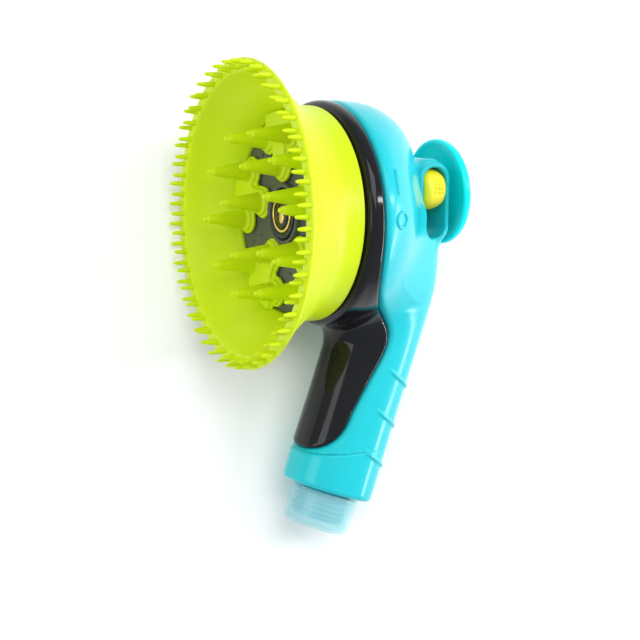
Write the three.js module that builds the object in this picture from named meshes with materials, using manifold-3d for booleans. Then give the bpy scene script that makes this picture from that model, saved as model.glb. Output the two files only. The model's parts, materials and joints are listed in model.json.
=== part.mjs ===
// A handheld pet bath sprayer: a slanted handle with a threaded hose inlet, a round spray
// head behind a soft silicone splash shield full of massage cones, a slide switch through
// the neck and a finger-grip disc at the back.
//
// The sprayer is drawn in its own axes: +X is the spray direction along the head's centre
// line, +Z points up away from the handle, and +Y is one side. x = 0 is the back edge of
// the shield's sleeve. At the end it is laid on its side on a table, where the shield's rim,
// the side of the head and the end of the handle touch the table.

import * as THREE from 'three';
import { mergeVertices } from 'three/addons/utils/BufferGeometryUtils.js';
import Module from 'manifold-3d';

const wasm = await Module();
wasm.setup();

// ---------------------------------------------------------------- driving dimensions, mm
const CLEARANCE = 0.3;            // gap between neighbouring pieces
const WALL = 2.2;                 // moulded shell thickness
const WELD = 1e-4;                // vertices closer than this are one vertex

const SLEEVE_R = 38.6;            // silicone sleeve, outside
const SLEEVE_BORE_R = 36.0;
const SLEEVE_END_X = 8;           // where the flare begins
const RIM_X = 28;                 // front face of the rim
const RIM_R = 54.5;
const RIM_FACE = 4.4;             // width of the rim's flat face
const RIM_OVAL = 0.93;            // the soft rim lies slightly oval: its Y radius over its Z radius
const SHIELD_TURN = 7;            // how far the shield is turned on the head, degrees
const BRISTLE_COUNT = 44;         // per row, two staggered rows on the rim face
const BRISTLE_LENGTH = 5;
const BRISTLE_R = 0.95;
const PETAL_COUNT = 5;            // each petal carries one inner and two outer cones
const PETAL_FRONT_X = 12;
const OUTER_CONES = { ring: 29, tip: 28.6, angles: [-18, 18] };
const INNER_CONES = { ring: 17, tip: 27.6, angles: [0] };
const CONE_BASE_R = 4.3;
const CONE_TIP_R = 1.05;
const LOBE_R = 5.2;

const HEAD_FRONT_X = -0.4;
const HEAD_R = 40.6;
const DOME_X = -8;                // the dome's widest place
const DOME_DEPTH = 34;
const DOME_POWER = 2.6;           // how square the dome is, seen from the side
const DOME_SIDE_POWER = 1.55;     // and seen from above, where it narrows to the neck
const DOME_STEPS = 7;

const PLATE_R = 35.6;             // spray faceplate and chamber
const PLATE_X = 9.2;              // its front face
const PLATE_THICKNESS = 1.4;
const BOSS_R = 11;                // raised ring round the badge
const BOSS_RISE = 2.4;
const BADGE_R = 9.2;
const BADGE_X = PLATE_X + 1.6;    // back of the badge, clear of the screw head under it
const BADGE_RING = { outer: 6.6, inner: 5.6 };
const NOZZLE_RINGS = [[14.6, 10], [21.2, 15], [27.8, 15]];
const NOZZLE_R = 0.55;
const CHAMBER_FRONT_X = PLATE_X - PLATE_THICKNESS - CLEARANCE;
const CHAMBER_BACK_X = -5.4;
const CHAMBER_FLOOR_X = -3.7;
const GASKET_R = 34.1;

const HANDLE_TILT = 19;           // degrees between the handle and the head's upright
const COLLAR = { x: -8.7, z: -103.2 };
const NECK = { x: -45.7, z: 3.9, width: 14.4, height: 32.4, half: 10.6 };
const SLOT = { width: 10, height: 26 };
const KNOB = { width: 9.4, height: 15.2, proud: 1.6 };
const SLIDE_TRAVEL = 9.6;
const KNOB_Z = NECK.z + (SLOT.height - KNOB.height) / 2 - 0.5;

const DISC = { x: -57.4, z: 7.4, r: 19.8, rim: 2.6, tilt: 3 };

const THREAD = { major: 20.955 / 2, minor: 18.631 / 2, pitch: 1.814, length: 10.8 };
const INLET_BORE_R = 6.6;
const TUBE = { outer: 6, inner: 4.4 };
const CAP = { mouth: 12.7, end: 12.2, wall: 1.1, length: 14.2 };

const VALVE = { x: -27, outer: 8, bore: 5.2, low: -29, high: 19 };
const PORT = { z: -14, r: 3.2, spout: 5, socket: 5.7, outer: 7.6 };
const SPOOL_R = 4.6;
const SPOOL_SEAL = 5.2;           // height above the port with the water on
const SKIRT = 6;                  // the valve body's sleeve round the water tube
const RIBS = { heights: [19, 34.5, 50], slant: 16, proud: 0.7, width: 1.5 };

const RING_STEPS = 36;            // facets round the large turned pieces
const SMALL_STEPS = 16;           // facets round the small ones

// ------------------------------------------------------------------------- materials
const plastic = (color, roughness) => new THREE.MeshStandardMaterial({ color, roughness, metalness: 0 });
const LIME_SILICONE = plastic(0xcde619, 0.55);
const CYAN_PLASTIC = plastic(0x30e0e8, 0.3);
const BLACK_PLASTIC = plastic(0x17171b, 0.12);
const YELLOW_PLASTIC = plastic(0xfff04a, 0.4);
const GREY_PLASTIC = plastic(0x464e46, 0.45);
const WHITE_PLASTIC = plastic(0xe8e8e4, 0.45);
const SEAL_RUBBER = plastic(0x1c1c1c, 0.8);
const CLEAR_PLASTIC = plastic(0xdff6f8, 0.25);
const STEEL = new THREE.MeshStandardMaterial({ color: 0xb8bcc0, roughness: 0.3, metalness: 1 });
const GOLD = new THREE.MeshStandardMaterial({ color: 0xd8b04a, roughness: 0.25, metalness: 1 });

// ----------------------------------------------------------------------- solid helpers
function closedSolid(geometry) {
  for (const name of Object.keys(geometry.attributes)) {
    if (name !== 'position') geometry.deleteAttribute(name);
  }
  const merged = mergeVertices(geometry, WELD);
  const points = merged.attributes.position;
  const triangles = [];
  let volume = 0;
  for (let i = 0; i < merged.index.count; i += 3) {
    const [a, b, c] = [0, 1, 2].map((k) => merged.index.getX(i + k));
    if (a === b || b === c || c === a) continue;
    triangles.push([a, b, c]);
    const [p, q, r] = [a, b, c].map((k) => new THREE.Vector3().fromBufferAttribute(points, k));
    volume += p.dot(q.cross(r));
  }
  const outward = volume > 0 ? triangles : triangles.map(([a, b, c]) => [a, c, b]);
  return new wasm.Manifold(new wasm.Mesh({
    numProp: 3,
    vertProperties: new Float32Array(points.array),
    triVerts: new Uint32Array(outward.flat()),
  }));
}

function named(name, solid, material) {
  const mesh = solid.getMesh();
  const geometry = new THREE.BufferGeometry();
  geometry.setAttribute('position', new THREE.BufferAttribute(mesh.vertProperties, 3));
  geometry.setIndex(new THREE.BufferAttribute(mesh.triVerts, 1));
  geometry.computeVertexNormals();
  const result = new THREE.Mesh(geometry, material);
  result.name = name;
  return result;
}

const union = (solids) => solids.reduce((sum, solid) => sum.add(solid));
const radians = THREE.MathUtils.degToRad;

// A body turned about Z from a closed half outline of [radius, height] pairs.
function turned(outline, steps = RING_STEPS) {
  const points = outline.map(([radius, height]) => new THREE.Vector2(radius, height));
  const onAxis = outline[0][0] === 0 && outline.at(-1)[0] === 0;
  if (!onAxis) points.push(points[0].clone());
  const geometry = new THREE.LatheGeometry(points, steps);
  geometry.rotateX(Math.PI / 2);
  return closedSolid(geometry);
}

// The same about X, from [x, radius] pairs.
function turnedAboutX(outline, steps = RING_STEPS) {
  return turned(outline.map(([x, radius]) => [radius, x]), steps).rotate([0, 90, 0]);
}

function rod(radius, low, high, steps = SMALL_STEPS) {
  return turned([[0, low], [radius, low], [radius, high], [0, high]], steps);
}

function tube(outer, inner, low, high, steps = SMALL_STEPS) {
  return turned([[inner, low], [outer, low], [outer, high], [inner, high]], steps);
}

const alongX = (solid) => solid.rotate([0, 90, 0]);

// An O-ring about Z.
function seal(radius, section, height, steps = SMALL_STEPS) {
  const outline = [];
  for (let k = 0; k < 6; k += 1) {
    const angle = k * Math.PI / 3;
    outline.push([radius + section * Math.cos(angle), height + section * Math.sin(angle)]);
  }
  return turned(outline, steps);
}

function block([x0, y0, z0], [x1, y1, z1]) {
  const geometry = new THREE.BoxGeometry(x1 - x0, y1 - y0, z1 - z0);
  geometry.translate((x0 + x1) / 2, (y0 + y1) / 2, (z0 + z1) / 2);
  return closedSolid(geometry);
}

// A flat outline in the XZ plane, given thickness from y = -half to y = +half.
function slab(shape, half, curveSegments = 4) {
  const geometry = new THREE.ExtrudeGeometry(shape, {
    depth: 2 * half, bevelEnabled: false, curveSegments,
  });
  geometry.translate(0, 0, -half);
  geometry.rotateX(Math.PI / 2);
  return closedSolid(geometry);
}

function roundedRectangle(x, z, width, height, radius) {
  const [left, right, low, high] = [x - width / 2, x + width / 2, z - height / 2, z + height / 2];
  const shape = new THREE.Shape();
  shape.moveTo(left + radius, low);
  shape.absarc(right - radius, low + radius, radius, -Math.PI / 2, 0);
  shape.absarc(right - radius, high - radius, radius, 0, Math.PI / 2);
  shape.absarc(left + radius, high - radius, radius, Math.PI / 2, Math.PI);
  shape.absarc(left + radius, low + radius, radius, Math.PI, Math.PI * 1.5);
  return shape;
}

// A pan-head screw along +Z; the underside of its head is at the given height.
function screw(radius, length, headRadius, height = 0) {
  const head = rod(headRadius, 0, radius, 10);
  return head.add(rod(radius, -length, 0.2, 10)).translate([0, 0, height]);
}

// ---------------------------------------------------------------------- splash shield
function aroundHead(radius, degrees) {
  const angle = radians(degrees + SHIELD_TURN);
  return [-radius * Math.sin(angle), radius * Math.cos(angle)];
}

function taperedPin(x0, x1, baseRadius, tipRadius, steps) {
  return turnedAboutX([[x0, 0], [x0, baseRadius], [x1, tipRadius], [x1, 0]], steps);
}

function makeShield() {
  const lip = RIM_R - RIM_FACE;
  const bell = turnedAboutX([
    [CLEARANCE, SLEEVE_BORE_R], [CLEARANCE, SLEEVE_R - 0.4], [1, SLEEVE_R],
    [SLEEVE_END_X, SLEEVE_R], [12, 40.4], [15, 42.6], [19, 45.6], [23, 49.6], [25.5, 52.6],
    [RIM_X - 0.8, RIM_R], [RIM_X, RIM_R - 0.6], [RIM_X, lip], [RIM_X - 1, lip - 0.8],
    [22, 46.4], [17.5, 42], [13.5, 38.2], [PLATE_X + CLEARANCE, SLEEVE_BORE_R],
  ]);
  const pins = [];
  const rows = [[RIM_R - 1.3, 0], [lip + 1.1, 0.5]];
  for (const [radius, shift] of rows) {
    for (let k = 0; k < BRISTLE_COUNT; k += 1) {
      const [y, z] = aroundHead(radius, (k + shift) * 360 / BRISTLE_COUNT);
      const pin = taperedPin(RIM_X - 0.5, RIM_X + BRISTLE_LENGTH, BRISTLE_R, BRISTLE_R * 0.6, 4);
      pins.push(pin.translate([0, y, z]));
    }
  }
  const back = PLATE_X + CLEARANCE;
  for (let petal = 0; petal < PETAL_COUNT; petal += 1) {
    const turn = petal * 360 / PETAL_COUNT;
    for (const { ring, tip, angles } of [OUTER_CONES, INNER_CONES]) {
      for (const angle of angles) {
        const [y, z] = aroundHead(ring, turn + angle);
        const lobe = alongX(rod(LOBE_R, back, PETAL_FRONT_X, 8));
        const cone = taperedPin(PETAL_FRONT_X - 0.5, tip, CONE_BASE_R, CONE_TIP_R, 8);
        pins.push(lobe.add(cone).translate([0, y, z]));
      }
    }
    const web = block([back, -10.5, 26], [PETAL_FRONT_X - 0.6, 10.5, SLEEVE_BORE_R + 0.4]);
    const stem = block([back, -LOBE_R + 0.2, 17], [PETAL_FRONT_X - 0.6, LOBE_R - 0.2, 27]);
    pins.push(web.add(stem).rotate([turn + SHIELD_TURN, 0, 0]));
  }
  const round = union([bell, ...pins]);
  return round.warp((point) => {
    const along = THREE.MathUtils.clamp((point[0] - PLATE_X) / (RIM_X - PLATE_X), 0, 1);
    const outside = THREE.MathUtils.smoothstep(Math.hypot(point[1], point[2]), 32, 50);
    point[1] *= 1 - (1 - RIM_OVAL) * along * outside;
  });
}

// ------------------------------------------------------- outer skin of head and handle
function superellipse(power, steps) {
  const points = [];
  for (let k = 0; k <= steps; k += 1) {
    const angle = k / steps * Math.PI / 2;
    points.push([Math.sin(angle) ** (2 / power), Math.cos(angle) ** (2 / power)]);
  }
  return points;
}

const domeRadius = (back, power) => (1 - back ** power) ** (1 / power);

function dome(inset, frontX, steps = RING_STEPS) {
  const [radius, depth] = [HEAD_R - inset, DOME_DEPTH - inset];
  const outline = [[frontX, 0]];
  if (inset === 0) outline.push([frontX, radius - 1.7], [frontX - 1.2, radius - 0.5], [frontX - 3, radius]);
  else outline.push([frontX, radius]);
  for (const [back, out] of superellipse(DOME_POWER, DOME_STEPS)) {
    outline.push([DOME_X - depth * back, out < 1e-6 ? 0 : radius * out]);
  }
  return turnedAboutX(outline, steps).warp((point) => {
    const [x, y, z] = point;
    const back = (DOME_X - x) / depth;
    if (back <= 0 || back > 0.999) return;
    const upright = z * z / (y * y + z * z);
    const power = DOME_SIDE_POWER + (DOME_POWER - DOME_SIDE_POWER) * upright * upright;
    const narrower = domeRadius(back, power) / domeRadius(back, DOME_POWER);
    point[1] *= narrower;
    point[2] *= narrower;
  });
}

// Sections of the handle, square to its axis: [height up the axis, front, rear, half width].
const HANDLE_SECTIONS = [
  [0, 16.4, 16.4, 14.6], [1, 17.2, 17.2, 15.4], [12, 17.3, 17.2, 15.1], [34, 17.2, 17.1, 14.5],
  [60, 17.4, 17.2, 14.6], [72, 17.6, 17.2, 14.8], [84, 17.6, 16.5, 14.4], [95, 17, 14, 12.4],
  [104, 15, 10.6, 10.2],
];
const HANDLE_POWER = 2.3;

function handleLoft(inset, lowest, highest) {
  const steps = 24;
  const rings = HANDLE_SECTIONS.map(([height, front, rear, half]) => {
    const ring = [];
    for (let k = 0; k < steps; k += 1) {
      const angle = k / steps * 2 * Math.PI;
      const [c, s] = [Math.cos(angle), Math.sin(angle)];
      const depth = (c > 0 ? front : rear) - inset;
      const x = Math.sign(c) * Math.abs(c) ** (2 / HANDLE_POWER) * depth;
      const y = Math.sign(s) * Math.abs(s) ** (2 / HANDLE_POWER) * (half - inset);
      ring.push(new THREE.Vector3(x, y, THREE.MathUtils.clamp(height, lowest, highest)));
    }
    return ring;
  });
  const kept = rings.filter((ring, k) => k === 0 || ring[0].z > rings[k - 1][0].z);
  const positions = kept.flat().flatMap((point) => point.toArray());
  const index = [];
  for (let row = 0; row + 1 < kept.length; row += 1) {
    for (let k = 0; k < steps; k += 1) {
      const [a, b] = [row * steps + k, row * steps + (k + 1) % steps];
      index.push(a, b, b + steps, a, b + steps, a + steps);
    }
  }
  const last = (kept.length - 1) * steps;
  for (let k = 1; k + 1 < steps; k += 1) {
    index.push(0, k + 1, k, last, last + k, last + k + 1);
  }
  const geometry = new THREE.BufferGeometry();
  geometry.setAttribute('position', new THREE.Float32BufferAttribute(positions, 3));
  geometry.setIndex(index);
  return closedSolid(geometry);
}

const inHandle = (solid) => solid.rotate([0, -HANDLE_TILT, 0]).translate([COLLAR.x, 0, COLLAR.z]);

function neckPill(width, height, half, radius) {
  return slab(roundedRectangle(NECK.x, NECK.z, width, height, radius), half, 5);
}

function outerSkin() {
  const handle = inHandle(handleLoft(0, 0, 200));
  const neck = neckPill(NECK.width, NECK.height, NECK.half, 6.4);
  return union([dome(0, HEAD_FRONT_X), handle, neck]);
}

// The room inside: it is open at the head's front, where the spray chamber goes in.
function innerRoom() {
  const roomTop = 92;
  const floor = 3;
  const room = dome(WALL, HEAD_FRONT_X - 2.4, 24).add(inHandle(handleLoft(WALL, floor, roomTop)));
  const mouth = turnedAboutX([
    [1, 0], [1, PLATE_R + 0.5], [HEAD_FRONT_X - 3, PLATE_R + 0.5], [HEAD_FRONT_X - 3, 0],
  ]);
  const slotWall = neckPill(SLOT.width + 2 * WALL, SLOT.height + 2 * WALL, 40, 6);
  return room.subtract(slotWall).add(mouth);
}

// The seam between the black bezel and the coloured housing, seen from the side.
const SEAM = [
  [-6.6, 46], [-6.6, 30], [-6.9, 8], [-7.4, -6], [-8.6, -17], [-11.4, -25.4], [-16, -31],
  [-21.4, -35.6], [-25.2, -40.6], [-26.3, -45.6], [-24.4, -51.2], [-18.6, -60.8], [-12.8, -70.8],
  [-9.4, -77.4], [-5.6, -81.8], [0, -85], [8, -86.6], [16, -86.8],
];

function bezelSide(gap) {
  const seam = new THREE.SplineCurve(SEAM.map(([x, z]) => new THREE.Vector2(x, z)));
  const shape = new THREE.Shape();
  const steps = 40;
  shape.moveTo(30, 46);
  for (let k = 0; k <= steps; k += 1) {
    const point = seam.getPointAt(k / steps);
    const along = seam.getTangentAt(k / steps);
    shape.lineTo(point.x + along.y * gap, point.y - along.x * gap);
  }
  shape.lineTo(30, -86.8 - gap);
  return slab(shape, 60);
}

// --------------------------------------------------------------- housing and bezel
const shellSolid = outerSkin().subtract(innerRoom());

function makeBezel() {
  return shellSolid.intersect(bezelSide(0));
}

function makeHousing() {
  const slot = neckPill(SLOT.width, SLOT.height, 40, 4.6);
  const armWindow = block([-43, -2.6, KNOB_Z - SLIDE_TRAVEL - 2], [-34, 2.6, KNOB_Z + 2]);
  const inletHole = inHandle(rod(8.4, -1, 5, SMALL_STEPS));
  const discScrewHole = discPlace(rod(1.6, -9, -2, 10));
  const posts = chamberScrewPlaces().map((place) => {
    const post = alongX(tube(3.2, 1.6, -33, CHAMBER_BACK_X - CLEARANCE, 10)).translate(place);
    return post.intersect(dome(WALL / 2, HEAD_FRONT_X));
  });
  let housing = shellSolid.add(gripRibs()).subtract(bezelSide(CLEARANCE));
  for (const cut of [slot, armWindow, inletHole, discScrewHole]) housing = housing.subtract(cut);
  return union([housing, ...posts]);
}

// Three raised grip ribs across the back of the handle, sloping down towards its spine.
function gripRibs() {
  const skin = handleLoft(-RIBS.proud, 0, 200).subtract(handleLoft(WALL / 2, -1, 201));
  const bars = RIBS.heights.map((height) => {
    const bar = block([-24, -20, -RIBS.width / 2], [-2, 20, RIBS.width / 2]);
    return bar.rotate([0, -RIBS.slant, 0]).translate([0, 0, height]);
  });
  return inHandle(skin.intersect(union(bars)));
}

// ------------------------------------------------------------------------ spray head
function makeChamber() {
  const groove = 1.5;
  const cup = turnedAboutX([
    [CHAMBER_BACK_X, 0], [CHAMBER_BACK_X, PLATE_R + 1.9], [CHAMBER_FLOOR_X, PLATE_R + 1.9],
    [CHAMBER_FLOOR_X, PLATE_R], [CHAMBER_FRONT_X, PLATE_R], [CHAMBER_FRONT_X, GASKET_R + 1],
    [CHAMBER_FRONT_X - groove, GASKET_R + 1], [CHAMBER_FRONT_X - groove, GASKET_R - 1],
    [CHAMBER_FRONT_X, GASKET_R - 1], [CHAMBER_FRONT_X, GASKET_R - 1.8],
    [CHAMBER_FLOOR_X, GASKET_R - 1.8], [CHAMBER_FLOOR_X, 0],
  ], 36);
  const boss = alongX(rod(3.6, CHAMBER_FLOOR_X - 0.5, CHAMBER_FRONT_X, 12));
  const spoutEnd = VALVE.x + VALVE.outer + 1.2;
  const sealX = spoutSealX();
  const spout = alongX(rod(PORT.spout, spoutEnd, CHAMBER_BACK_X + 0.5))
    .subtract(alongX(tube(9, PORT.spout - 0.9, sealX - 0.8, sealX + 0.8)));
  const flow = alongX(rod(PORT.r, spoutEnd - 1, CHAMBER_FLOOR_X + 1));
  const screwHole = alongX(rod(1.6, CHAMBER_FLOOR_X + 1, CHAMBER_FRONT_X + 1, 10));
  let chamber = union([cup, boss, spout.translate([0, 0, PORT.z])])
    .subtract(flow.translate([0, 0, PORT.z])).subtract(screwHole);
  for (const place of chamberScrewPlaces()) {
    const hole = alongX(rod(1.7, CHAMBER_BACK_X - 1, CHAMBER_FLOOR_X + 1, 10));
    chamber = chamber.subtract(hole.translate(place));
  }
  return chamber;
}

function makeFaceplateGasket() {
  return alongX(tube(GASKET_R + 0.7, GASKET_R - 0.7, CHAMBER_FRONT_X - 1.2, CHAMBER_FRONT_X, 36));
}

const spoutSealX = () => VALVE.x + VALVE.outer + 3.4;

function makeSpoutSeal() {
  return alongX(seal(PORT.spout - 0.1, 0.5, spoutSealX())).translate([0, 0, PORT.z]);
}

function makeChamberScrew(place) {
  return alongX(screw(1.25, 10, 2.8, CHAMBER_FLOOR_X + CLEARANCE)).translate(place);
}

function chamberScrewPlaces() {
  return [45, 135, 225, 315].map((degrees) => {
    const angle = radians(degrees);
    return [0, 29 * Math.sin(angle), 29 * Math.cos(angle)];
  });
}

function makeFaceplate() {
  const back = PLATE_X - PLATE_THICKNESS;
  let plate = turnedAboutX([
    [back, 0], [back, PLATE_R], [PLATE_X - 0.4, PLATE_R], [PLATE_X, PLATE_R - 0.4],
    [PLATE_X, BOSS_R], [PLATE_X + BOSS_RISE - 0.4, BOSS_R], [PLATE_X + BOSS_RISE, BOSS_R - 0.4],
    [PLATE_X + BOSS_RISE, BADGE_R + 0.6], [PLATE_X, BADGE_R + 0.3], [PLATE_X, 0],
  ], 36);
  plate = plate.subtract(alongX(rod(1.6, back - 1, PLATE_X + 1, 10)));
  for (const [ring, count] of NOZZLE_RINGS) {
    for (let k = 0; k < count; k += 1) {
      const [y, z] = aroundHead(ring, (k + 0.5) * 360 / count);
      plate = plate.subtract(alongX(rod(NOZZLE_R, back - 1, PLATE_X + 1, 4)).translate([0, y, z]));
    }
  }
  return plate;
}

function makeBadge() {
  const back = BADGE_X;
  return turnedAboutX([
    [back, 0], [back, BADGE_R - 0.3], [back + 0.6, BADGE_R - 0.3], [back + 0.8, BADGE_R - 0.6],
    [back + 0.8, BADGE_RING.outer + 0.3], [back + 0.4, BADGE_RING.outer + 0.3],
    [back + 0.4, BADGE_RING.inner - 0.3], [back + 0.8, BADGE_RING.inner - 0.3], [back + 0.8, 0],
  ], 28);
}

// A thin metal ring set in the badge's groove.
function makeBadgeRing() {
  const x = BADGE_X + 0.4 + CLEARANCE;
  return alongX(tube(BADGE_RING.outer, BADGE_RING.inner, x, x + 0.4, 28));
}

// --------------------------------------------------------------------- water controls
// The valve body stands upright in the head. Water comes up into its bore and leaves by the
// port on its front; the spool slides down with the switch until its seal is past the port.
// The arm reaches the spool through a slot that stays above the seal.
function makeValveBody() {
  const { outer, bore, low, high } = VALVE;
  const body = rod(outer, low, high, 20);
  const skirt = tube(outer, TUBE.outer + CLEARANCE, low - SKIRT, low + 0.1, 20);
  const port = alongX(rod(PORT.outer, 2, outer + 6.2)).translate([0, 0, PORT.z]);
  const socket = alongX(rod(PORT.socket, outer + 0.9, outer + 8)).translate([0, 0, PORT.z]);
  const portHole = alongX(rod(PORT.r, 2, outer + 2)).translate([0, 0, PORT.z]);
  const armSlot = block([-outer - 2, -2.2, KNOB_Z - SLIDE_TRAVEL - 2], [-3, 2.2, KNOB_Z + 2]);
  const inlet = rod(TUBE.inner - 0.6, low - 2, low + 4);
  return union([body, skirt, port]).subtract(rod(bore, low + 2.4, high + 1, 20)).subtract(socket)
    .subtract(portHole).subtract(inlet).subtract(armSlot).translate([VALVE.x, 0, 0]);
}

function makeValvePlug() {
  const { bore, outer, high } = VALVE;
  const stem = rod(bore - CLEARANCE, high - 4, high + 0.5);
  return stem.add(rod(outer, high + CLEARANCE, high + 2.2)).translate([VALVE.x, 0, 0]);
}

const SEAL_Z = PORT.z + SPOOL_SEAL;

function makeSpool() {
  let spool = rod(SPOOL_R, SEAL_Z - 1.6, VALVE.high - 6, SMALL_STEPS);
  spool = spool.subtract(tube(8, SPOOL_R - 1.4, SEAL_Z - 1, SEAL_Z + 1));
  const armHole = block([-8, -2.1, KNOB_Z - 1.6], [1.6, 2.1, KNOB_Z + 1.6]);
  return spool.subtract(armHole).translate([VALVE.x, 0, 0]);
}

function makeSpoolSeal() {
  return seal(SPOOL_R - 0.4, 0.7, SEAL_Z).translate([VALVE.x, 0, 0]);
}

// ------------------------------------------------------------------------------ switch
function makeKnob() {
  const half = NECK.half + KNOB.proud;
  const body = slab(roundedRectangle(NECK.x, KNOB_Z, KNOB.width, KNOB.height, 4.4), half - 2, 4);
  const caps = [1, -1].map((side) => {
    const cap = slab(roundedRectangle(NECK.x, KNOB_Z, KNOB.width - 2.2, KNOB.height - 2.2, 3.4), 1.2, 4);
    return cap.translate([0, side * (half - 1.2), 0]);
  });
  const socket = block([NECK.x - 0.2, -2.1, KNOB_Z - 1.6], [NECK.x + 8, 2.1, KNOB_Z + 1.6]);
  return union([body, ...caps]).subtract(socket);
}

function makeArm() {
  const rear = NECK.x + 0.1;
  return block([rear, -1.8, KNOB_Z - 1.3], [VALVE.x + 1.3, 1.8, KNOB_Z + 1.3]);
}

// ---------------------------------------------------------------------- finger disc
const discPlace = (solid) => solid.rotate([0, -90 - DISC.tilt, 0]).translate([DISC.x, 0, DISC.z]);

// Drawn about Z: its front face looks to -Z, towards the head, and its back to +Z.
function makeDisc() {
  const { r, rim } = DISC;
  return discPlace(turned([
    [1.7, -3.9], [5.6, -3.9], [6.2, -1.6], [12, -1.1], [17.2, -2.2], [r - 0.8, -rim - 0.5],
    [r, -rim + 0.1], [r, -0.7], [r - 0.7, 0], [16, 0.9], [9, 1.7], [3.8, 1.9], [3.8, 0.2], [1.7, 0.2],
  ], 32));
}

function makeDiscScrew() {
  return discPlace(screw(1.3, 6.3, 3.2, 0.5));
}

// --------------------------------------------------------------------- hose inlet
// Drawn about the handle's axis: +Z runs up into the handle from the collar's end face.
function threadedStub() {
  const { major, minor, pitch, length } = THREAD;
  const steps = 16;
  const rowsPerTurn = 3;
  const turns = length / pitch;
  const rows = Math.ceil(turns * rowsPerTurn);
  const positions = [];
  for (let row = 0; row <= rows; row += 1) {
    const height = -length * row / rows;
    for (let k = 0; k < steps; k += 1) {
      const turn = k / steps;
      const phase = (((height / pitch + turn) % 1) + 1) % 1;
      const ridge = 1 - Math.abs(phase * 2 - 1);
      const fade = Math.min(1, -height / pitch * 2, (length + height) / pitch);
      const radius = minor + (major - minor) * ridge * Math.max(fade, 0);
      const angle = turn * 2 * Math.PI;
      positions.push(radius * Math.cos(angle), radius * Math.sin(angle), height);
    }
  }
  const index = [];
  for (let row = 0; row < rows; row += 1) {
    for (let k = 0; k < steps; k += 1) {
      const [a, b] = [row * steps + k, row * steps + (k + 1) % steps];
      index.push(a, b + steps, b, a, a + steps, b + steps);
    }
  }
  const last = rows * steps;
  for (let k = 1; k + 1 < steps; k += 1) {
    index.push(0, k, k + 1, last, last + k + 1, last + k);
  }
  const geometry = new THREE.BufferGeometry();
  geometry.setAttribute('position', new THREE.Float32BufferAttribute(positions, 3));
  geometry.setIndex(index);
  return closedSolid(geometry);
}

const STUB_FLANGE = 3 + CLEARANCE;

function makeInletStub() {
  const shank = rod(8.1, -0.5, STUB_FLANGE + 0.2);
  const flange = rod(11, STUB_FLANGE, STUB_FLANGE + 2.2);
  const socket = rod(8.6, STUB_FLANGE + 2, STUB_FLANGE + 9);
  const bore = rod(INLET_BORE_R, -THREAD.length - 1, -4);
  const step = rod(4.2, -4.5, STUB_FLANGE + 3);
  const tubeSocket = rod(TUBE.outer + CLEARANCE, STUB_FLANGE + 2.5, STUB_FLANGE + 10);
  const solid = union([threadedStub(), shank, flange, socket]);
  return solid.subtract(bore).subtract(step).subtract(tubeSocket);
}

// A shallow cup of wire mesh lying in the stub's bore.
function makeFilter() {
  const top = -4 - CLEARANCE;
  const outside = INLET_BORE_R - CLEARANCE;
  return turned([
    [0, top - 0.6], [outside, top - 0.6], [outside, top], [0, top],
  ], SMALL_STEPS);
}

function underValveGasket() {
  return makeTubeGasket(VALVE.low - 1.4, VALVE.low - CLEARANCE).translate([VALVE.x, 0, 0]);
}

function makeTubeGasket(low, high) {
  return tube(TUBE.outer - 0.2, TUBE.inner + 0.2, low, high);
}

function makeCap() {
  const { mouth, end, wall, length } = CAP;
  return turned([
    [0, -length], [end - 1.2, -length], [end, -length + 1.2], [mouth, -CLEARANCE - 1], [mouth, -CLEARANCE],
    [mouth - wall - 0.2, -CLEARANCE], [end - wall, -length + wall + 0.6], [end - wall - 0.6, -length + wall],
    [0, -length + wall],
  ], 24);
}

// The water tube climbs the handle and ends in the skirt under the valve body.
const TUBE_START = STUB_FLANGE + 4.4;

function makeWaterTube() {
  const tilt = radians(HANDLE_TILT);
  const onAxis = (height) => new THREE.Vector3(
    COLLAR.x - Math.sin(tilt) * height, 0, COLLAR.z + Math.cos(tilt) * height,
  );
  const underValve = (drop) => new THREE.Vector3(VALVE.x, 0, VALVE.low - drop);
  const sweep = (radius, points, steps) => {
    const section = new THREE.Shape().absarc(0, 0, radius, 0, 2 * Math.PI);
    const extrudePath = new THREE.CatmullRomCurve3(points);
    return closedSolid(new THREE.ExtrudeGeometry(section, {
      extrudePath, steps, curveSegments: 6, bevelEnabled: false,
    }));
  };
  const route = [onAxis(TUBE_START), onAxis(22), onAxis(38), onAxis(52), underValve(13), underValve(1.7)];
  const beyond = [onAxis(TUBE_START - 3), ...route.slice(1, -1), underValve(-2)];
  return sweep(TUBE.outer, route, 14).subtract(sweep(TUBE.inner, beyond, 14));
}

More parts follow.
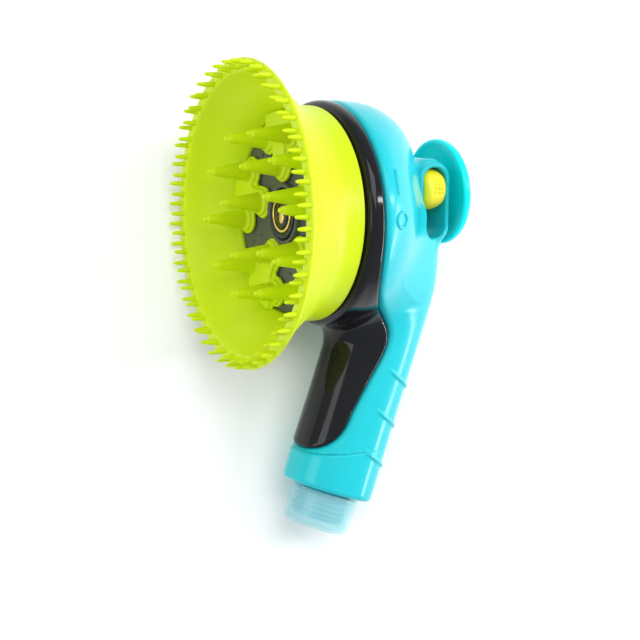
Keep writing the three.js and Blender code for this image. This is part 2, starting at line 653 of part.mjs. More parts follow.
// ----------------------------------------------------------------------- assembly
const sprayer = new THREE.Group();
sprayer.add(
  named('splash_shield', makeShield(), LIME_SILICONE),
  named('front_bezel', makeBezel(), BLACK_PLASTIC),
  named('rear_housing', makeHousing(), CYAN_PLASTIC),
  named('spray_chamber', makeChamber(), WHITE_PLASTIC),
  named('faceplate_gasket', makeFaceplateGasket(), SEAL_RUBBER),
  named('spray_faceplate', makeFaceplate(), GREY_PLASTIC),
  named('faceplate_screw', alongX(screw(1.25, 8, 3, PLATE_X + CLEARANCE)), STEEL),
  named('emblem_badge', makeBadge(), BLACK_PLASTIC),
  named('badge_ring', makeBadgeRing(), GOLD),
  ...chamberScrewPlaces().map((place, k) => {
    return named(`chamber_screw_${k + 1}`, makeChamberScrew(place), STEEL);
  }),
  named('spout_seal', makeSpoutSeal(), SEAL_RUBBER),
  named('valve_body', makeValveBody(), WHITE_PLASTIC),
  named('valve_plug', makeValvePlug(), WHITE_PLASTIC),
  named('valve_spool', makeSpool(), WHITE_PLASTIC),
  named('spool_seal', makeSpoolSeal(), SEAL_RUBBER),
  named('valve_gasket', underValveGasket(), SEAL_RUBBER),
  named('slider_arm', makeArm(), STEEL),
  named('slider_knob', makeKnob(), YELLOW_PLASTIC),
  named('grip_disc', makeDisc(), CYAN_PLASTIC),
  named('disc_screw', makeDiscScrew(), STEEL),
  named('water_tube', makeWaterTube(), WHITE_PLASTIC),
);

const handle = new THREE.Group();
handle.position.set(COLLAR.x, 0, COLLAR.z);
handle.rotation.y = -radians(HANDLE_TILT);
handle.add(
  named('inlet_stub', makeInletStub(), CYAN_PLASTIC),
  named('inlet_gasket', makeTubeGasket(STUB_FLANGE + 2.8, TUBE_START - CLEARANCE), SEAL_RUBBER),
  named('filter_screen', makeFilter(), STEEL),
  named('thread_cap', makeCap(), CLEAR_PLASTIC),
);
sprayer.add(handle);

// The sprayer lies on three things: the shield's rim, the side of the dome, and the end of
// the cap or the collar. Each is a list of ellipses, given by centre and two half axes, and
// the table is the plane under the lowest point of each list.
function restingEdges() {
  const facingX = new THREE.Euler(0, Math.PI / 2, 0);
  const inclined = new THREE.Euler(0, -radians(HANDLE_TILT), 0);
  const edge = (centre, halfY, half, turn) => ({
    centre, a: new THREE.Vector3(0, halfY, 0), b: new THREE.Vector3(half, 0, 0).applyEuler(turn),
  });
  const upHandle = (height) => new THREE.Vector3(0, 0, height).applyEuler(inclined)
    .add(new THREE.Vector3(COLLAR.x, 0, COLLAR.z));
  const rimY = RIM_R * (1 - (1 - RIM_OVAL) * (RIM_X - 0.8 - PLATE_X) / (RIM_X - PLATE_X));
  const rim = [edge(new THREE.Vector3(RIM_X - 0.8, 0, 0), rimY, RIM_R, facingX)];
  const side = superellipse(DOME_POWER, DOME_STEPS).map(([back, out]) => {
    const centre = new THREE.Vector3(DOME_X - DOME_DEPTH * back, 0, 0);
    return edge(centre, HEAD_R * domeRadius(back, DOME_SIDE_POWER), HEAD_R * out, facingX);
  });
  const [collarHeight, , collarDepth, collarHalf] = HANDLE_SECTIONS[1];
  const end = [
    edge(upHandle(1.2 - CAP.length), CAP.end, CAP.end, inclined),
    edge(upHandle(collarHeight), collarHalf, collarDepth, inclined),
  ];
  return [rim, side, end];
}

function lowestPoint(edges, up) {
  const points = edges.map(({ centre, a, b }) => {
    const [alongA, alongB] = [a.dot(up), b.dot(up)];
    const reach = Math.max(Math.hypot(alongA, alongB), 1e-9);
    return centre.clone().addScaledVector(a, -alongA / reach).addScaledVector(b, -alongB / reach);
  });
  return points.reduce((low, point) => (point.dot(up) < low.dot(up) ? point : low));
}

function tableNormal() {
  const edges = restingEdges();
  const up = new THREE.Vector3(0, 1, 0);
  const table = new THREE.Plane();
  for (let pass = 0; pass < 30; pass += 1) {
    table.setFromCoplanarPoints(...edges.map((list) => lowestPoint(list, up)));
    up.copy(table.normal).multiplyScalar(Math.sign(table.normal.y));
  }
  return up;
}

// Row axes: +Z up from the table, +Y along the sprayer's length towards the head's top.
const up = tableNormal();
const lengthwise = new THREE.Vector3(0, 0, 1).projectOnPlane(up).normalize();
const across = lengthwise.clone().cross(up);
const lay = new THREE.Matrix4().makeBasis(across, lengthwise, up).transpose();
sprayer.quaternion.setFromRotationMatrix(lay);

const group = new THREE.Group();
group.add(sprayer);
const box = new THREE.Box3().setFromObject(group, true);
const middle = box.getCenter(new THREE.Vector3());
sprayer.position.set(-middle.x, -middle.y, -box.min.z);

export default group;
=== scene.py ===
"""The look of a handheld pet bath sprayer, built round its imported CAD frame.

Shapes are worked out in the sprayer's own axes, in millimetres: +X is the spray direction,
+Z points up away from the handle and +Y is the side that faces up from the table. own_to_row
carries them into the frame's axes, in metres. The moulded shells are surfaces where a field
is zero, so that the dome, the handle and the neck run into each other as one moulding.
"""
import json
import math

import bpy
import numpy as np
from mathutils import Matrix, Vector


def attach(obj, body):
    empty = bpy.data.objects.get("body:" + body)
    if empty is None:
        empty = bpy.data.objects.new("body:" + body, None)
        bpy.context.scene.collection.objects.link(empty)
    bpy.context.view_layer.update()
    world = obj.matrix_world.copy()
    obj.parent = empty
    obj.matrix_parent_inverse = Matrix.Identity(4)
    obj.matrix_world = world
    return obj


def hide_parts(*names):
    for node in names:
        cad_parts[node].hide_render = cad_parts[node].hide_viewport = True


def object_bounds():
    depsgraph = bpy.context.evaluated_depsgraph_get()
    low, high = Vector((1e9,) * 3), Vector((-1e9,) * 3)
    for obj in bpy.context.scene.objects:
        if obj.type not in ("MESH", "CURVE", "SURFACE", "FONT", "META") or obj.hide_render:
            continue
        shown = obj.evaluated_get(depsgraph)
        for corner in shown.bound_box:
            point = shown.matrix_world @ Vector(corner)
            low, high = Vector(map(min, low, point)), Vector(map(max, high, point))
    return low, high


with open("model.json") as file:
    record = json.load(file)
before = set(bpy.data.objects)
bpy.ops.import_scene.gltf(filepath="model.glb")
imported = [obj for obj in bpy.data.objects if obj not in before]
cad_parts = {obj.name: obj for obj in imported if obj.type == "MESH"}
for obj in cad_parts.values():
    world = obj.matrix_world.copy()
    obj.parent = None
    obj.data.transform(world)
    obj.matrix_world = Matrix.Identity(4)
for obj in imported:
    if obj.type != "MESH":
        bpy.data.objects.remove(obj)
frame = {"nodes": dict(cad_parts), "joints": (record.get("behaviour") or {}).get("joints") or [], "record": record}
cad_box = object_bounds()

# ------------------------------------------------------------ the sprayer's sizes, mm
HANDLE_TILT = math.radians(19)
COLLAR = np.array([-8.7, 0, -103.2])
UP_HANDLE = np.array([-math.sin(HANDLE_TILT), 0, math.cos(HANDLE_TILT)])
HANDLE_FRONT = np.array([math.cos(HANDLE_TILT), 0, math.sin(HANDLE_TILT)])

HEAD_FRONT_X = -0.4
HEAD_R = 40.6
DOME_X = -8
DOME_DEPTH = 34
DOME_POWER, DOME_SIDE_POWER = 2.6, 1.55
HANDLE_POWER = 2.3
HANDLE_TOP = 104
# Height up the handle, then its front depth, rear depth and half width.
HANDLE_SECTIONS = [
    [0, 17.2, 17.2, 15.4], [12, 17.3, 17.2, 15.1], [34, 17.2, 17.1, 14.5],
    [60, 17.4, 17.2, 14.6], [72, 17.6, 17.2, 14.8], [84, 17.6, 16.5, 14.4],
    [95, 17, 14, 12.4], [HANDLE_TOP, 15, 10.6, 10.2],
]
RIB_HEIGHTS = [19, 34.5, 50]
RIB_SLANT = math.radians(16)
RIB_PROUD = 0.7
RIB_HALF_WIDTH = 0.75

NECK_X, NECK_Z = -45.7, 3.9
NECK_WIDTH, NECK_HEIGHT, NECK_HALF = 14.4, 32.4, 10.6
SLOT_WIDTH, SLOT_HEIGHT = 10, 26
LIP_WIDTH, LIP_HALF = 1.9, 13
KNOB_WIDTH, KNOB_HEIGHT, KNOB_HALF, KNOB_Z = 9.6, 15.6, 15.2, 8.8
# How much lower the knob is at its ends than in its middle, and its grip dimples.
KNOB_CROWN = 5
PIT_R, PIT_SPACING, PIT_LIFT = 0.95, 1.7, 0.1

RIM_X, RIM_R = 28, 54.5
RIM_FACE = 4.4
RIM_OVAL = 0.93
SLEEVE_R, SLEEVE_BORE_R = 38.6, 36
SHIELD_TURN = 7
PETAL_COUNT = 5
PAD_FRONT_X = 12
PAD_STEP_X = 10.9
LOBE_R = 4.7
WEB_HALF_WIDTH = 8.6
CONE_BASE_R, CONE_TIP_R = 3.7, 1.05
# The cones of one petal: distance from the middle, degrees to the side, and the tip's x.
PETAL_CONES = [[29, -18, 28.6], [29, 18, 28.6], [17, 0, 27.6]]
NUB_LENGTH = 1.5
BRISTLE_COUNT, BRISTLE_LENGTH, BRISTLE_R = 44, 5, 0.95

PLATE_X, PLATE_R = 9.2, 35.6
BOSS_R, BOSS_RISE = 11, 2.4
BADGE_X, BADGE_R = PLATE_X + 1.6, 8.9
NOZZLE_RINGS = [[14.6, 10], [21.2, 15], [27.8, 15]]
NOZZLE_R = 0.55

DISC_X, DISC_Z, DISC_R, DISC_TILT = -57.4, 7.4, 19.8, 3
THREAD_MAJOR, THREAD_MINOR, THREAD_PITCH, THREAD_LENGTH = 10.4775, 9.3155, 1.814, 10.8
INLET_BORE_R = 6.6
CAP_MOUTH_R, CAP_END_R, CAP_WALL, CAP_LENGTH = 12.7, 12.2, 1.1, 14.2

# The seam between the black bezel and the coloured housing, seen from the side, as x and z.
SEAM = [
    [-6.6, 46], [-6.6, 30], [-6.9, 8], [-7.4, -6], [-8.6, -17], [-11.4, -25.4], [-16, -31],
    [-21.4, -35.6], [-25.2, -40.6], [-26.3, -45.6], [-24.4, -51.2], [-18.6, -60.8],
    [-12.8, -70.8], [-9.4, -77.4], [-5.6, -81.8], [0, -85], [8, -86.6], [16, -86.8],
    [60, -87.6],
]
SEAM_GAP, SEAM_ROUND = 0.12, 2.2

# ------------------------------------------------------------------ own axes to the row
joints = {joint["name"]: joint for joint in frame["joints"]}
own_x = Vector(joints["shield_slide"]["axis"]).normalized()
own_z = -Vector(joints["switch_slide"]["axis"]).normalized()
own_y = own_z.cross(own_x).normalized()
turn = np.array(Matrix((own_x, own_y, own_z)).transposed())
inlet_face = COLLAR - THREAD_LENGTH * UP_HANDLE + 7.9 * HANDLE_FRONT
mount = frame["record"]["mounts"][0]
shift = np.array(mount["pos_m"]) - turn @ inlet_face / 1000


def own_to_row(points):
    return np.asarray(points, float) / 1000 @ turn.T + shift


# ----------------------------------------------------------------------------- fields
def smooth_min(a, b, k):
    h = np.clip(0.5 + 0.5 * (b - a) / k, 0, 1)
    return b * (1 - h) + a * h - k * h * (1 - h)


def smooth_max(a, b, k):
    return -smooth_min(-a, -b, k)


def superellipse(u, v, width, height, power):
    """About the distance from a superellipse with those half sizes; negative inside."""
    u, v = np.abs(u) / width, np.abs(v) / height
    q = np.maximum((u ** power + v ** power) ** (1 / power), 1e-3)
    slope = np.hypot((u / q) ** (power - 1) / width, (v / q) ** (power - 1) / height)
    return (q - 1) / np.maximum(slope, 1e-3)


def rounded_rectangle(u, v, width, height, radius):
    du = np.abs(u) - (width / 2 - radius)
    dv = np.abs(v) - (height / 2 - radius)
    outside = np.hypot(np.maximum(du, 0), np.maximum(dv, 0))
    return outside + np.minimum(np.maximum(du, dv), 0) - radius


def head_field(p):
    behind = np.maximum(DOME_X - p[:, 0], 0)
    radius = np.hypot(p[:, 1], p[:, 2])
    upright = (p[:, 2] / np.maximum(radius, 1e-3)) ** 4
    power = DOME_SIDE_POWER + (DOME_POWER - DOME_SIDE_POWER) * upright
    dome = superellipse(behind, radius, DOME_DEPTH, HEAD_R, power)
    return smooth_max(dome, p[:, 0] - HEAD_FRONT_X, 3.6)


section_heights = np.arange(0, HANDLE_TOP + 1, 1.0)
section_table = []
for column in (1, 2, 3):
    plain = np.interp(section_heights, *np.array(HANDLE_SECTIONS)[:, [0, column]].T)
    padded = np.pad(plain, 6, mode="reflect", reflect_type="odd")
    section_table.append(np.convolve(padded, np.hanning(15)[1:-1] / 7, mode="valid"))


def handle_field(p):
    from_collar = p - COLLAR
    height = from_collar @ UP_HANDLE
    ahead = from_collar @ HANDLE_FRONT
    front, rear, half = (np.interp(height, section_heights, t) for t in section_table)
    field = superellipse(ahead, p[:, 1], np.where(ahead > 0, front, rear), half, HANDLE_POWER)
    fade = 1 / (1 + np.exp((ahead + 3) * 1.6))
    for rib in RIB_HEIGHTS:
        off = (height - rib - ahead * math.tan(RIB_SLANT)) * math.cos(RIB_SLANT)
        field = field - RIB_PROUD * fade * np.exp(-np.abs(off / RIB_HALF_WIDTH) ** 3)
    field = smooth_max(field, -height, 2.2)
    return smooth_max(field, height - HANDLE_TOP, 4)


def neck_field(p, width, height, radius):
    """A rounded rectangle round the neck's middle, seen from the side."""
    return rounded_rectangle(p[:, 0] - NECK_X, p[:, 2] - NECK_Z, width, height, radius)


def moulding_field(p):
    """Both shells as one moulding: head, handle and neck, with the slot and the arm's way."""
    neck = smooth_max(neck_field(p, NECK_WIDTH, NECK_HEIGHT, 6.4), np.abs(p[:, 1]) - NECK_HALF, 2.6)
    soft = 11 + 7 * np.clip((behind_seam(p) + 1) / 14, 0, 1)
    field = smooth_min(head_field(p), handle_field(p), soft)
    field = smooth_min(field, neck, 3.5)
    lip = neck_field(p, SLOT_WIDTH + 2 * LIP_WIDTH, SLOT_HEIGHT + 2 * LIP_WIDTH, 6.2)
    field = smooth_min(field, smooth_max(lip, np.abs(p[:, 1]) - LIP_HALF, 1.6), 0.5)
    field = smooth_max(field, -neck_field(p, SLOT_WIDTH, SLOT_HEIGHT, 4.6), 0.9)
    arm_way = np.maximum(np.abs(p[:, 1]) - 2.6, np.abs(p[:, 2] - KNOB_Z + 4.8) - 6.8)
    arm_way = np.maximum(arm_way, np.maximum(p[:, 0] + 24, -p[:, 0] - 44))
    return np.maximum(field, -arm_way)


def through(points, count):
    """A smooth curve through the points, count places to a span."""
    p = np.array(points, float)
    p = np.vstack([2 * p[0] - p[1], p, 2 * p[-1] - p[-2]])
    curve = []
    for a, b, c, d in zip(p, p[1:], p[2:], p[3:]):
        for t in np.arange(count) / count:
            curve.append(0.5 * (2 * b + (c - a) * t + (2 * a - 5 * b + 4 * c - d) * t * t
                                + (3 * b - a - 3 * c + d) * t ** 3))
    return np.array(curve + [p[-2]])


seam_curve = through(SEAM, 16)[::-1]
seam_slope = np.gradient(seam_curve[:, 0]) / np.maximum(np.gradient(seam_curve[:, 1]), 1e-3)


def behind_seam(p):
    """How far a point is behind the seam; negative on the bezel's side."""
    x = np.interp(p[:, 2], seam_curve[:, 1], seam_curve[:, 0])
    slope = np.interp(p[:, 2], seam_curve[:, 1], seam_slope)
    return (x - p[:, 0]) / np.hypot(1, slope)


def bezel_field(p):
    return smooth_max(moulding_field(p), SEAM_GAP + behind_seam(p), SEAM_ROUND)


def housing_field(p):
    return smooth_max(moulding_field(p), SEAM_GAP - behind_seam(p), SEAM_ROUND)


def knob_field(p):
    """The crowned switch knob, with its dimples and the socket for the arm."""
    flat = rounded_rectangle(p[:, 0] - NECK_X, p[:, 2] - KNOB_Z, KNOB_WIDTH, KNOB_HEIGHT, 4.4)
    crown = KNOB_CROWN * ((p[:, 2] - KNOB_Z) / (KNOB_HEIGHT / 2)) ** 2
    field = smooth_max(flat, np.abs(p[:, 1]) - KNOB_HALF + crown, 4)
    for row in (-1, 0, 1):
        for column in (-1, 0, 1):
            from_x = p[:, 0] - NECK_X - PIT_SPACING * column
            from_z = p[:, 2] - KNOB_Z - PIT_SPACING * row
            away = np.hypot(from_x, from_z)
            pit = np.hypot(away, np.abs(p[:, 1]) - KNOB_HALF - PIT_LIFT) - PIT_R
            field = smooth_max(field, -pit, 0.25)
    arm = np.maximum(np.abs(p[:, 1]) - 2.1, np.abs(p[:, 2] - KNOB_Z) - 1.6)
    return np.maximum(field, -np.maximum(arm, NECK_X - 0.2 - p[:, 0]))


def cone_field(away, x, tip):
    """A massage cone round its own axis, with a small nub on its tip."""
    shoulder = tip - NUB_LENGTH
    slope = (CONE_BASE_R - CONE_TIP_R - 0.35) / (shoulder - PAD_FRONT_X)
    side = (away - CONE_BASE_R + slope * (x - PAD_FRONT_X)) / math.hypot(1, slope)
    cone = smooth_max(side, x - shoulder, 0.8)
    nub = smooth_max(away - CONE_TIP_R + 0.1, x - tip, 1.0)
    return smooth_min(cone, nub, 0.4)


def petals_field(p):
    """The pads between cup and faceplate, each with a step, a web and its cones."""
    x = p[:, 0]
    field = np.full(len(p), 50.0)
    for petal in range(PETAL_COUNT):
        angle = math.radians(petal * 360 / PETAL_COUNT + SHIELD_TURN)
        out = -p[:, 1] * math.sin(angle) + p[:, 2] * math.cos(angle)
        side = p[:, 1] * math.cos(angle) + p[:, 2] * math.sin(angle)
        pad = np.maximum(np.abs(side) - LOBE_R + 0.4, np.abs(out - 23) - 7)
        web = np.maximum(np.abs(side) - WEB_HALF_WIDTH, np.abs(out - 32.5) - 4.6)
        pad = smooth_min(pad, web, 2)
        cones = np.full(len(p), 50.0)
        for ring, turned, tip in PETAL_CONES:
            at_out = ring * math.cos(math.radians(turned))
            at_side = ring * math.sin(math.radians(turned))
            away = np.hypot(out - at_out, side - at_side)
            pad = smooth_min(pad, away - LOBE_R, 1.5)
            cones = np.minimum(cones, cone_field(away, x, tip))
        upper = smooth_max(pad, x - PAD_FRONT_X, 0.7)
        lower = smooth_max(pad - 0.9, x - PAD_STEP_X, 0.7)
        whole = smooth_min(np.minimum(upper, lower), cones, 0.9)
        field = np.minimum(field, whole)
    field = np.maximum(field, PLATE_X + 0.3 - x)
    return np.maximum(field, np.hypot(p[:, 1], p[:, 2]) - SLEEVE_BORE_R - 0.8)


# --------------------------------------------------------------- surfaces from fields
def gradient(field, p):
    small = 0.02
    sides = [(field(p + small * e) - field(p - small * e)) / (2 * small) for e in np.eye(3)]
    return np.stack(sides, 1)


def surface(field, low, high, step):
    """The closed surface where the field is zero, as points, quads and normals."""
    low = np.array(low, float)
    lines = [np.arange(a, b + step, step) for a, b in zip(low, high)]
    across, upward = np.meshgrid(lines[1], lines[2], indexing="ij")
    values = np.empty((len(lines[0]),) + across.shape)
    for k, x in enumerate(lines[0]):
        plane = np.stack([np.full(across.size, x), across.ravel(), upward.ravel()], 1)
        values[k] = field(plane).reshape(across.shape)
    inside = values < 0
    shape = np.array(values.shape) - 1
    corners = np.zeros(shape, int)
    for i in (0, 1):
        for j in (0, 1):
            for k in (0, 1):
                corners += inside[i:i + shape[0], j:j + shape[1], k:k + shape[2]]
    cells = np.argwhere((corners > 0) & (corners < 8))
    number = np.full(shape, -1)
    number[tuple(cells.T)] = np.arange(len(cells))
    total, hits = np.zeros((len(cells), 3)), np.zeros(len(cells))
    quads = []
    for axis in range(3):
        one, two = np.eye(3, dtype=int)[[(axis + 1) % 3, (axis + 2) % 3]]
        along = np.eye(3, dtype=int)[axis]
        for i in (0, 1):
            for j in (0, 1):
                start = cells + i * one + j * two
                a = values[tuple(start.T)]
                b = values[tuple((start + along).T)]
                crossing = (a < 0) != (b < 0)
                t = a[crossing] / (a[crossing] - b[crossing])
                total[crossing] += (start - cells)[crossing] + t[:, None] * along
                hits[crossing] += 1
        first = tuple(slice(0, n - d) for n, d in zip(inside.shape, along))
        second = tuple(slice(d, n) for n, d in zip(inside.shape, along))
        edges = np.argwhere(inside[first] != inside[second])
        ring = [number[tuple((edges - o).T)] for o in (0 * one, one, one + two, two)]
        quad = np.stack(ring, 1)
        solid_first = inside[first][tuple(edges.T)]
        quad[~solid_first] = quad[~solid_first][:, ::-1]
        quads.append(quad)
    points = low + (cells + total / hits[:, None]) * step
    for _ in range(3):
        slope = gradient(field, points)
        move = (field(points) / np.maximum((slope ** 2).sum(1), 0.05))[:, None] * slope
        points = points - np.clip(move, -0.4 * step, 0.4 * step)
    slope = gradient(field, points)
    normals = slope / np.maximum(np.linalg.norm(slope, axis=1), 1e-6)[:, None]
    return points, np.concatenate(quads), normals


def without_buried(points, quads, normals, field, depth):
    """Drops the faces buried deeper than that in another field."""
    buried = field(points) < -depth
    quads = quads[~buried[quads].all(1)]
    used, index = np.unique(quads, return_inverse=True)
    return points[used], index.reshape(-1, 4), normals[used]


def rounded(outline, times=2):
    """Cuts the corners of a closed outline."""
    p = np.array(outline, float)
    for _ in range(times):
        after = np.roll(p, -1, axis=0)
        p = np.stack([0.75 * p + 0.25 * after, 0.25 * p + 0.75 * after], 1).reshape(-1, 2)
    return p


def turned_about_x(outline, steps=160, closed=True):
    """A surface turned about the spray axis from [x, radius] pairs."""
    outline = np.array(outline, float)
    angles = np.arange(steps) * 2 * math.pi / steps
    rows = [np.stack([np.full(steps, x), r * np.cos(angles), r * np.sin(angles)], 1)
            for x, r in outline]
    points = np.concatenate(rows)
    count = len(outline)
    quads = []
    for k in range(count if closed else count - 1):
        a = k * steps + np.arange(steps)
        b = k * steps + (np.arange(steps) + 1) % steps
        step = (((k + 1) % count) - k) * steps
        quads.append(np.stack([a, b, b + step, a + step], 1))
    return points, np.concatenate(quads)


def joined(parts):
    points, quads, base = [], [], 0
    for p, q in parts:
        points.append(p)
        quads.append(q + base)
        base += len(p)
    return np.concatenate(points), np.concatenate(quads)


def around_head(radius, degrees):
    angle = math.radians(degrees + SHIELD_TURN)
    return -radius * math.sin(angle), radius * math.cos(angle)


# -------------------------------------------------------------------------- materials
def finish(name, colour, roughness, other=None, grain=0.02, grain_size=400, wave=0.0,
           metallic=0.0, coat=0.0, sub=0.0, transmission=0.0, specular=0.5, vary=0.06):
    """A moulded or metal finish: broad colour drift, fine grain and varied roughness."""
    material = bpy.data.materials.new(name)
    material.use_nodes = True
    nodes, links = material.node_tree.nodes, material.node_tree.links
    shader = nodes["Principled BSDF"]
    shader.inputs["Metallic"].default_value = metallic
    shader.inputs["Coat Weight"].default_value = coat
    shader.inputs["Coat Roughness"].default_value = 0.04
    shader.inputs["Specular IOR Level"].default_value = specular
    shader.inputs["Subsurface Weight"].default_value = sub
    shader.inputs["Subsurface Scale"].default_value = 0.004
    shader.inputs["Subsurface Radius"].default_value = (1.0, 0.9, 0.25)
    shader.inputs["Transmission Weight"].default_value = transmission
    place = nodes.new("ShaderNodeTexCoord")

    def noise(scale, detail):
        node = nodes.new("ShaderNodeTexNoise")
        node.inputs["Scale"].default_value = scale
        node.inputs["Detail"].default_value = detail
        links.new(place.outputs["Object"], node.inputs["Vector"])
        return node

    broad = noise(35, 3)
    mix = nodes.new("ShaderNodeMix")
    mix.data_type = "RGBA"
    mix.inputs["A"].default_value = (*colour, 1)
    mix.inputs["B"].default_value = (*(other or [c * 0.88 for c in colour]), 1)
    links.new(broad.outputs["Fac"], mix.inputs["Factor"])
    links.new(mix.outputs["Result"], shader.inputs["Base Color"])
    smudge = noise(90, 5)
    spread = nodes.new("ShaderNodeMapRange")
    spread.inputs["From Min"].default_value = 0.3
    spread.inputs["From Max"].default_value = 0.7
    spread.inputs["To Min"].default_value = max(roughness - vary, 0.02)
    spread.inputs["To Max"].default_value = roughness + vary
    links.new(smudge.outputs["Fac"], spread.inputs["Value"])
    links.new(spread.outputs["Result"], shader.inputs["Roughness"])
    fine = noise(grain_size, 2)
    bump = nodes.new("ShaderNodeBump")
    bump.inputs["Strength"].default_value = grain
    bump.inputs["Distance"].default_value = 0.0004
    links.new(fine.outputs["Fac"], bump.inputs["Height"])
    if wave:
        sink = noise(28, 1)
        broad_bump = nodes.new("ShaderNodeBump")
        broad_bump.inputs["Strength"].default_value = wave
        broad_bump.inputs["Distance"].default_value = 0.001
        links.new(sink.outputs["Fac"], broad_bump.inputs["Height"])
        links.new(broad_bump.outputs["Normal"], bump.inputs["Normal"])
    links.new(bump.outputs["Normal"], shader.inputs["Normal"])
    return material


LIME = finish("lime silicone", (0.64, 0.80, 0.006), 0.38, other=(0.58, 0.75, 0.004), grain=0.14,
              grain_size=900, wave=0.05, sub=0.12, specular=0.25)
CYAN = finish("cyan moulding", (0.018, 0.54, 0.62), 0.21, other=(0.012, 0.5, 0.58),
              grain=0.015, grain_size=1500, wave=0.03, coat=0.07, sub=0.05, vary=0.04,
              specular=0.22)
DISC = finish("cyan disc", (0.004, 0.83, 0.87), 0.24, other=(0.003, 0.79, 0.84), grain=0.02,
              grain_size=1500, wave=0.03, sub=0.2, vary=0.04, specular=0.25)
BLACK = finish("black gloss moulding", (0.006, 0.006, 0.008), 0.09, other=(0.009, 0.009, 0.012),
               grain=0.01, grain_size=1500, wave=0.03, coat=0.1, specular=0.22, vary=0.03)
YELLOW = finish("yellow switch", (1.0, 0.82, 0.03), 0.36, other=(1.0, 0.76, 0.02), grain=0.08,
                grain_size=1200, sub=0.15)
GREY = finish("grey faceplate", (0.055, 0.068, 0.055), 0.42, other=(0.07, 0.08, 0.066),
              grain=0.2, grain_size=1400)
# Nearly black finish for the nozzle holes: painted shade standing in for the dark inside of each hole.
NOZZLE_HOLE_SHADE = finish("nozzle hole painted shade", (0.008, 0.008, 0.008), 0.6, grain=0.05)
WHITE = finish("white acetal", (0.8, 0.8, 0.78), 0.45, grain=0.06)
SEAL = finish("seal rubber", (0.012, 0.012, 0.012), 0.7, grain=0.3, grain_size=900)
METAL = finish("stainless steel", (0.6, 0.62, 0.63), 0.28, grain=0.08, metallic=1)
GOLD = finish("gold ring", (0.83, 0.6, 0.2), 0.2, grain=0.05, metallic=1)
FROSTED = finish("frosted cap", (0.62, 0.9, 0.94), 0.22, other=(0.54, 0.87, 0.92), grain=0.25,
                 grain_size=700, wave=0.1, specular=0.7, coat=0.4)


def see_through(material, clear):
    """Lets part of the light straight through, as a thin frosted wall does."""
    nodes, links = material.node_tree.nodes, material.node_tree.links
    shader, output = nodes["Principled BSDF"], nodes["Material Output"]
    straight = nodes.new("ShaderNodeBsdfTransparent")
    straight.inputs["Color"].default_value = (0.88, 0.98, 0.99, 1)
    mix = nodes.new("ShaderNodeMixShader")
    mix.inputs["Fac"].default_value = clear
    links.new(shader.outputs["BSDF"], mix.inputs[1])
    links.new(straight.outputs["BSDF"], mix.inputs[2])
    links.new(mix.outputs["Shader"], output.inputs["Surface"])


see_through(FROSTED, 0.74)


# ----------------------------------------------------------------------------- pieces
def piece(name, points, quads, material, body, replaced, slot, normals=None):
    mesh = bpy.data.meshes.new(name)
    row_points = own_to_row(points)
    mesh.from_pydata(row_points.tolist(), [], quads.tolist())
    mesh.validate()
    mesh.polygons.foreach_set("use_smooth", [True] * len(mesh.polygons))
    if normals is not None:
        mesh.normals_split_custom_set_from_vertices((normals @ turn.T).tolist())
    mesh.materials.append(material)
    mesh.update()
    obj = bpy.data.objects.new(name, mesh)
    bpy.context.scene.collection.objects.link(obj)
    if replaced:
        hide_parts(*replaced)
    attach(obj, body)
    return obj


def outward(points, quads):
    """Turns every face over if the closed surface is inside out."""
    a, b, c = (points[quads[:, k]] for k in (0, 1, 2))
    d = points[quads[:, 3]]
    volume = np.einsum("ij,ij->i", a, np.cross(b, c)).sum()
    volume += np.einsum("ij,ij->i", a, np.cross(c, d)).sum()
    return quads if volume > 0 else quads[:, ::-1]


STEP = 0.6
# The space that holds both shells, down past the tilted collar's rear corner.
HEAD_SPACE = [-56, -42, -112], [18, 42, 42]

for name, field, material, slot in (
        ("front_bezel_look", bezel_field, BLACK, "black_gloss"),
        ("rear_housing_look", housing_field, CYAN, "cyan_gloss")):
    points, quads, normals = surface(field, *HEAD_SPACE, STEP)
    points, quads, normals = without_buried(points, quads, normals, moulding_field, 2.2)
    piece(name, points, quads, material, "sprayer", [name[:-5]], slot, normals)

# Splash shield: the bell, its rim bristles, and the petals with their cones.
lip = RIM_R - RIM_FACE
bell_outline = [
    [0.3, SLEEVE_BORE_R], [0.3, SLEEVE_R - 0.3], [0.9, SLEEVE_R], [3, SLEEVE_R], [6, SLEEVE_R],
    [8.4, 38.8], [12, 40.4], [15, 42.6], [19, 45.8], [23, 49.8], [25.4, 52.6], [27.2, 54.7],
    [28.1, 54.4], [28.1, 52], [28.1, lip - 0.1], [26.8, 49.1], [22, 46.2], [17.5, 42],
    [13.5, 38.6], [10.5, 36.8], [9.5, 36], [6, SLEEVE_BORE_R], [3, SLEEVE_BORE_R],
]
parts = [turned_about_x(rounded(bell_outline), 192)]
parts[0] = (parts[0][0], outward(*parts[0]))
bristle = [[RIM_X - 0.6, BRISTLE_R * 1.25], [RIM_X + 0.3, BRISTLE_R * 1.02],
           [RIM_X + 2.4, BRISTLE_R * 0.86], [RIM_X + 4.1, BRISTLE_R * 0.68],
           [RIM_X + 4.75, BRISTLE_R * 0.42], [RIM_X + BRISTLE_LENGTH, 0.02]]
for radius, offset in ((RIM_R - 1.3, 0), (lip + 1.1, 0.5)):
    for k in range(BRISTLE_COUNT):
        y, z = around_head(radius, (k + offset) * 360 / BRISTLE_COUNT)
        pin_points, pin_quads = turned_about_x(bristle, 12, closed=False)
        lean = 0.05 * np.maximum(pin_points[:, :1] - RIM_X, 0)
        pin_points = pin_points + [0, y, z] + lean * [0, y / radius, z / radius]
        parts.append((pin_points, pin_quads[:, ::-1]))
petal_points, petal_quads, _ = surface(
    petals_field, [PLATE_X - 0.5, -38, -38], [30, 38, 38], 0.45)
parts.append((petal_points, petal_quads))
shield_points, shield_quads = joined(parts)
along = np.clip((shield_points[:, 0] - PLATE_X) / (RIM_X - PLATE_X), 0, 1)
reach = np.clip((np.hypot(shield_points[:, 1], shield_points[:, 2]) - 32) / 18, 0, 1)
